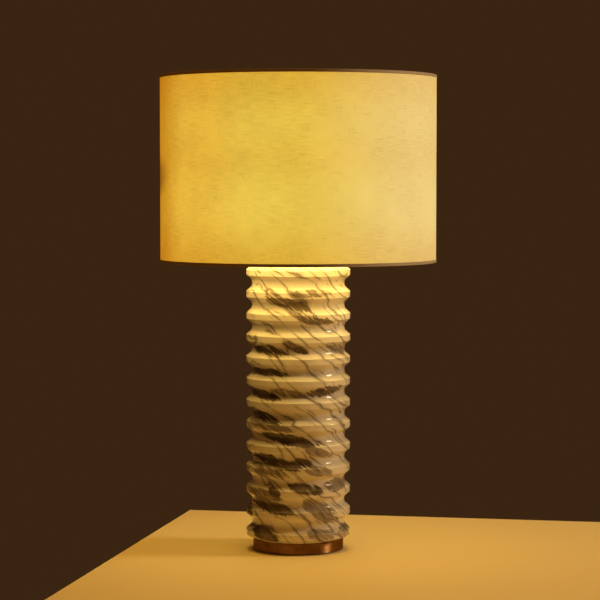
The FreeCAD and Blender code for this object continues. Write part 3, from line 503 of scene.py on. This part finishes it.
# Finishes by slot
finishes = {
    "marble": marble(),
    "aged_brass": brass(
        "aged_brass", light=(0.45, 0.25, 0.10, 1), dull=(0.28, 0.135, 0.05, 1),
        tarnish=(0.06, 0.03, 0.015, 1), rough=0.36, spots=0.7, brushed=1.0),
    "fitting_brass": brass(
        "fitting_brass", light=(0.78, 0.57, 0.27, 1), dull=(0.58, 0.39, 0.17, 1),
        tarnish=(0.14, 0.08, 0.04, 1), rough=0.24, spots=0.5, brushed=0.5),
    "zinc_steel": plated_steel(),
    "gasket": moulded("gasket", (0.018, 0.015, 0.013, 1), (0.035, 0.03, 0.026, 1), 0.72, 0.00005),
    "bushing": moulded("bushing", (0.05, 0.032, 0.02, 1), (0.08, 0.052, 0.032, 1), 0.38, 0.00003),
    "phenolic": moulded("phenolic", (0.016, 0.012, 0.01, 1), (0.035, 0.026, 0.02, 1), 0.3, 0.00002),
    "insulating_paper": pressed_paper(),
    "bulb_metal": bulb_aluminium(),
    "bulb_insulator": insulator_glass(),
    "bulb_glass": lit_bulb(),
    "shade_wire": enamelled_wire(),
    "shade_liner": lit_liner(),
    "linen": linen("linen", cover_glow, (0.72, 0.65, 0.52, 1), (0.64, 0.56, 0.42, 1)),
    "hem_linen": linen("hem_linen", hem_glow, (0.18, 0.13, 0.085, 1), (0.14, 0.1, 0.06, 1)),
    "felt": felt(),
}
for part in frame["record"]["subparts"]:
    for slot in frame["nodes"][part["node"]].material_slots:
        slot.material = finishes[part["material_slot"]]


# Working by hand in edit mode
def begin(primitive, **settings):
    """Add a primitive alone, put its place into its mesh, and open it with nothing selected."""
    bpy.ops.object.select_all(action="DESELECT")
    primitive(**settings)
    bpy.ops.object.transform_apply(location=True, rotation=True, scale=True)
    bpy.ops.object.mode_set(mode="EDIT")
    bpy.ops.mesh.select_all(action="DESELECT")
    return bpy.context.object


def pick(rule):
    """Select the corners whose place the rule wants, and what lies between them."""
    mesh = bmesh.from_edit_mesh(bpy.context.object.data)
    bpy.ops.mesh.select_mode(type="VERT")
    for corner in mesh.verts:
        corner.select = rule(corner.co)
    mesh.select_flush_mode()
    bmesh.update_edit_mesh(bpy.context.object.data)


def pick_rings():
    """Of the selected edges, keep those that run round the lamp's axis."""
    mesh = bmesh.from_edit_mesh(bpy.context.object.data)
    for edge in mesh.edges:
        start, end = (corner.co.xy.length for corner in edge.verts)
        if edge.select and abs(start - end) > NEAR:
            edge.select = False
    bmesh.update_edit_mesh(bpy.context.object.data)


def pick_flat_faces():
    """Select the faces that look up or down."""
    mesh = bmesh.from_edit_mesh(bpy.context.object.data)
    for face in mesh.faces:
        face.select = abs(face.normal.z) > 0.9
    bmesh.update_edit_mesh(bpy.context.object.data)


def widen(share):
    """Scale what is selected away from the lamp's axis."""
    bpy.ops.transform.resize(value=(share, share, 1), center_override=(0, 0, 0))


def sweep(steps, degrees):
    """Sweep what is selected round the lamp's axis."""
    bpy.ops.mesh.spin(steps=steps, angle=math.radians(degrees), center=(0, 0, 0), axis=(0, 0, 1))


def face_outward():
    """Turn the faces so that those furthest out look away from the axis."""
    mesh = bmesh.from_edit_mesh(bpy.context.object.data)
    face = max(mesh.faces, key=lambda item: item.calc_center_median().xy.length)
    if face.normal.xy.dot(face.calc_center_median().xy) < 0:
        bpy.ops.mesh.select_all(action="SELECT")
        bpy.ops.mesh.flip_normals()
        bpy.ops.mesh.select_all(action="DESELECT")


def thicken(piece, thickness):
    """Give a sheet its thickness, towards its inside."""
    modifier = piece.modifiers.new("thickness", "SOLIDIFY")
    modifier.thickness, modifier.offset = thickness, -1
    bpy.ops.object.modifier_apply(modifier=modifier.name)


def finished(piece, name, body, slot, *replaced):
    """Close a piece: name, finish, smooth shading, its body and the nodes that it replaces."""
    piece.name = piece.data.name = name
    piece.data.materials.append(finishes[slot])
    bpy.ops.object.shade_smooth_by_angle(angle=math.radians(40))
    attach(piece, body)
    if replaced:
        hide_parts(*replaced)
    return piece


# The linen, rolled round the liner and lapped at the back
LINEN_THICKNESS = 0.6 * MM
LAP_LIFT = 0.7 * MM
LAP_DEGREES = 2.8
ROWS = 40


def lay_out_strip(piece, radius):
    """Keep each corner's place on the flat strip as a UV map, in metres."""
    layer = piece.data.uv_layers.new(name="strip")
    for loop in piece.data.loops:
        place = piece.data.vertices[loop.vertex_index].co
        angle = math.atan2(-place.x, place.y) % (2 * math.pi)
        # The lapped end counts on past the full turn, and the start under it from nought
        lapped = place.xy.length > radius + LAP_LIFT / 2
        if lapped and angle < 1:
            angle += 2 * math.pi
        if not lapped and angle > 2 * math.pi - NEAR:
            angle = 0
        layer.data[loop.index].uv = (angle * radius, place.z)


def roll_linen():
    """An upright edge, swept once round the shade and a little further, over its start."""
    radius = shade_high.x
    height = shade_high.z - shade_low.z
    cover = begin(bpy.ops.mesh.primitive_plane_add, size=height, rotation=(0, math.pi / 2, 0),
                  location=(0, radius + height / 2, (shade_low.z + shade_high.z) / 2))
    pick(lambda place: place.y > radius + height / 2)
    bpy.ops.mesh.delete(type="VERT")
    bpy.ops.mesh.select_all(action="SELECT")
    bpy.ops.mesh.subdivide(number_cuts=ROWS)
    # A full turn in two sweeps, because a single one would close itself. Its end then steps out.
    sweep(178, 356)
    sweep(2, 4)
    widen(1 + LAP_LIFT / radius)
    sweep(2, LAP_DEGREES)
    face_outward()
    bpy.ops.object.mode_set(mode="OBJECT")
    lay_out_strip(cover, radius)
    thicken(cover, LINEN_THICKNESS)
    return cover


# The hems, folded over both rims and round the wires
HEM_THICKNESS = 0.5 * MM
HEM_DEPTH = 6.2 * MM
HEM_ROUNDING = 0.8 * MM
HEM_UNEVENNESS = 0.06 * MM
# A hem's outer band rises over the linen's lap: middle, half width and slopes in degrees
OUTER_BAND = 1.5 * MM
RISE_HEIGHT = LAP_LIFT * 1.05
RISE_MIDDLE = LAP_DEGREES / 2 - 1.2
RISE_REACH = 4.5
RISE_SLOPE = 2


def sew_hem(name, upper):
    """A band outside the linen, turned over the shade's rim and down its inside."""
    low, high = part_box(name)
    rim, inward = (high.z, -1) if upper else (low.z, 1)
    radius = high.x
    leg = high.z - low.z
    hem = begin(bpy.ops.mesh.primitive_cylinder_add, vertices=240, radius=radius, depth=leg,
                end_fill_type="NOTHING", location=(0, 0, (low.z + high.z) / 2))
    pick(lambda place: abs(place.z - rim) < NEAR)
    bpy.ops.mesh.extrude_region_move()
    widen((radius - HEM_DEPTH) / radius)
    bpy.ops.mesh.extrude_region_move()
    bpy.ops.transform.translate(value=(0, 0, inward * leg))
    pick(lambda place: abs(place.z - rim) < NEAR)
    bpy.ops.mesh.select_mode(type="EDGE")
    pick_rings()
    bpy.ops.mesh.bevel(offset=HEM_ROUNDING, segments=4)
    face_outward()
    bpy.ops.mesh.select_all(action="SELECT")
    bpy.ops.transform.vertex_random(offset=HEM_UNEVENNESS, seed=7)
    bpy.ops.object.mode_set(mode="OBJECT")
    over_lap(hem, radius)
    lay_out_strip(hem, radius)
    thicken(hem, HEM_THICKNESS)
    return hem


def over_lap(hem, radius):
    """Raise the outer band where it passes over the linen's lap."""
    for corner in hem.data.vertices:
        place = corner.co
        if place.y > 0 and place.xy.length > radius - OUTER_BAND:
            away = abs(math.degrees(math.atan2(-place.x, place.y)) - RISE_MIDDLE)
            share = min(1, max(0, (RISE_REACH - away) / RISE_SLOPE))
            lift = 1 + RISE_HEIGHT * share / radius
            corner.co = (place.x * lift, place.y * lift, place.z)


# The felt under the base
FELT_EDGE = 0.3 * MM
FELT_RINGS = (0.5 * MM, 6 * MM)
FELT_UNEVENNESS = 0.12 * MM


def press_felt():
    """A disc of felt with soft, slightly uneven edges."""
    radius = felt_high.x - FELT_EDGE
    foot = begin(bpy.ops.mesh.primitive_cylinder_add, vertices=160, radius=radius,
                 depth=felt_high.z - felt_low.z, location=(0, 0, (felt_low.z + felt_high.z) / 2))
    bpy.ops.mesh.select_mode(type="FACE")
    pick_flat_faces()
    for ring in FELT_RINGS:
        bpy.ops.mesh.inset(thickness=ring)
    pick(lambda place: abs(place.xy.length - radius) < NEAR / 10)
    bpy.ops.transform.resize(value=(1, 1, 0.6), center_override=(0, 0, felt_high.z / 2))
    bpy.ops.transform.vertex_random(offset=FELT_UNEVENNESS, seed=3)
    bpy.ops.object.mode_set(mode="OBJECT")
    return foot


# Loose threads at the hems, each a row of places in millimetres
THREAD_RADIUS = 0.13 * MM
THREADS = (
    ((-7, -203.9, 700.2), (-6.6, -204.4, 701.7), (-4.4, -204.2, 702.5), (-2.9, -204.5, 701.9)),
    ((-96, -180.2, 426.4), (-97.4, -181.0, 424.8), (-99.8, -180.6, 424.1), (-101.2, -179.9, 424.9)),
    ((-90, -183.4, 426.4), (-89.2, -184.0, 425.4), (-87.6, -184.7, 425.1)),
    ((60, 195.1, 700.3), (61.8, 195.6, 702.0), (64.8, 194.9, 702.2)),
)


def pull_threads():
    """A few ends of yarn that have worked out of the hems."""
    line = bpy.data.curves.new("threads", "CURVE")
    line.dimensions = "3D"
    line.bevel_depth = THREAD_RADIUS
    line.bevel_resolution = 1
    line.resolution_u = 6
    line.use_fill_caps = True
    for thread in THREADS:
        spline = line.splines.new("NURBS")
        spline.points.add(len(thread) - 1)
        for point, place in zip(spline.points, thread):
            point.co = (*(Vector(place) * MM), 1)
        spline.order_u = 3
        spline.use_endpoint_u = True
    threads = bpy.data.objects.new("threads", line)
    bpy.context.scene.collection.objects.link(threads)
    bpy.ops.object.select_all(action="DESELECT")
    threads.select_set(True)
    bpy.context.view_layer.objects.active = threads
    bpy.ops.object.convert(target="MESH")
    return bpy.context.object


# The pieces
linen_cover = finished(roll_linen(), "linen_cover", "shade", "linen", "shade_fabric")
upper_hem = finished(
    sew_hem("top_hem", upper=True), "upper_hem", "shade", "hem_linen", "top_hem")
lower_hem = finished(
    sew_hem("bottom_hem", upper=False), "lower_hem", "shade", "hem_linen", "bottom_hem")
loose_threads = finished(pull_threads(), "loose_threads", "shade", "hem_linen")
felt_foot = finished(press_felt(), "felt_foot", "lamp_base", "felt", "felt_pad")

# The floor: plain and pale, with its far left corner in the picture
bpy.ops.object.select_all(action="DESELECT")
bpy.ops.mesh.primitive_plane_add(
    size=2.4, location=(0.769, -1.032, 0), rotation=(0, 0, math.radians(-11)))
floor = bpy.context.object
floor.name = "floor"
pale = Finish("floor", Base_Color=(0.95, 0.775, 0.39, 1), Roughness=0.75, Specular_IOR_Level=0.2)
floor.data.materials.append(pale.material)


# Light
def soft_light(name, place, aim, width, watts, colour):
    """A soft studio light that looks at a point."""
    bpy.ops.object.light_add(type="AREA", location=place)
    light = bpy.context.object
    light.name = name
    light.rotation_euler = (Vector(aim) - Vector(place)).to_track_quat("-Z", "Y").to_euler()
    light.data.size = width
    light.data.energy = watts
    light.data.color = colour
    return light


soft_light("right_light", (2.22, -0.16, 1.36), (0, 0, 0.3), 0.5, 22.0, (1.0, 0.75, 0.44))
soft_light("top_light", (0, -0.6, 3.0), (0, 0, 0), 2.5, 22.0, (1.0, 0.41, 0.01))
# What the bulb throws down through the shade
shade_light = soft_light("shade_light", (0, 0, 0.472), (0, 0, 0), 0.385, 1.2, (1.0, 0.635, 0.135))
shade_light.data.shape = "DISK"
shade_light.visible_camera = shade_light.visible_glossy = False
soft_light("back_light", (0, 3.2, 2.2), (0, 0, 0.3), 1.5, 8.0, (1.0, 0.68, 0.36))

world = bpy.data.worlds.new("room")
world.use_nodes = True
background = world.node_tree.nodes["Background"]
background.inputs["Color"].default_value = (0.042, 0.018, 0.006, 1)
background.inputs["Strength"].default_value = 1.0
bpy.context.scene.world = world
bpy.context.scene.view_settings.view_transform = "Standard"

# Camera: 3.2 m in front of the lamp, looking slightly down
CAMERA_PLACE = (0.0026, -3.2, 0.5458)
CAMERA_TILT = math.radians(90 - 3.147)
bpy.ops.object.camera_add(location=CAMERA_PLACE, rotation=(CAMERA_TILT, 0, 0))
camera = bpy.context.object
camera.data.lens = 130.0
camera.data.sensor_width = 36.0
bpy.context.scene.camera = camera
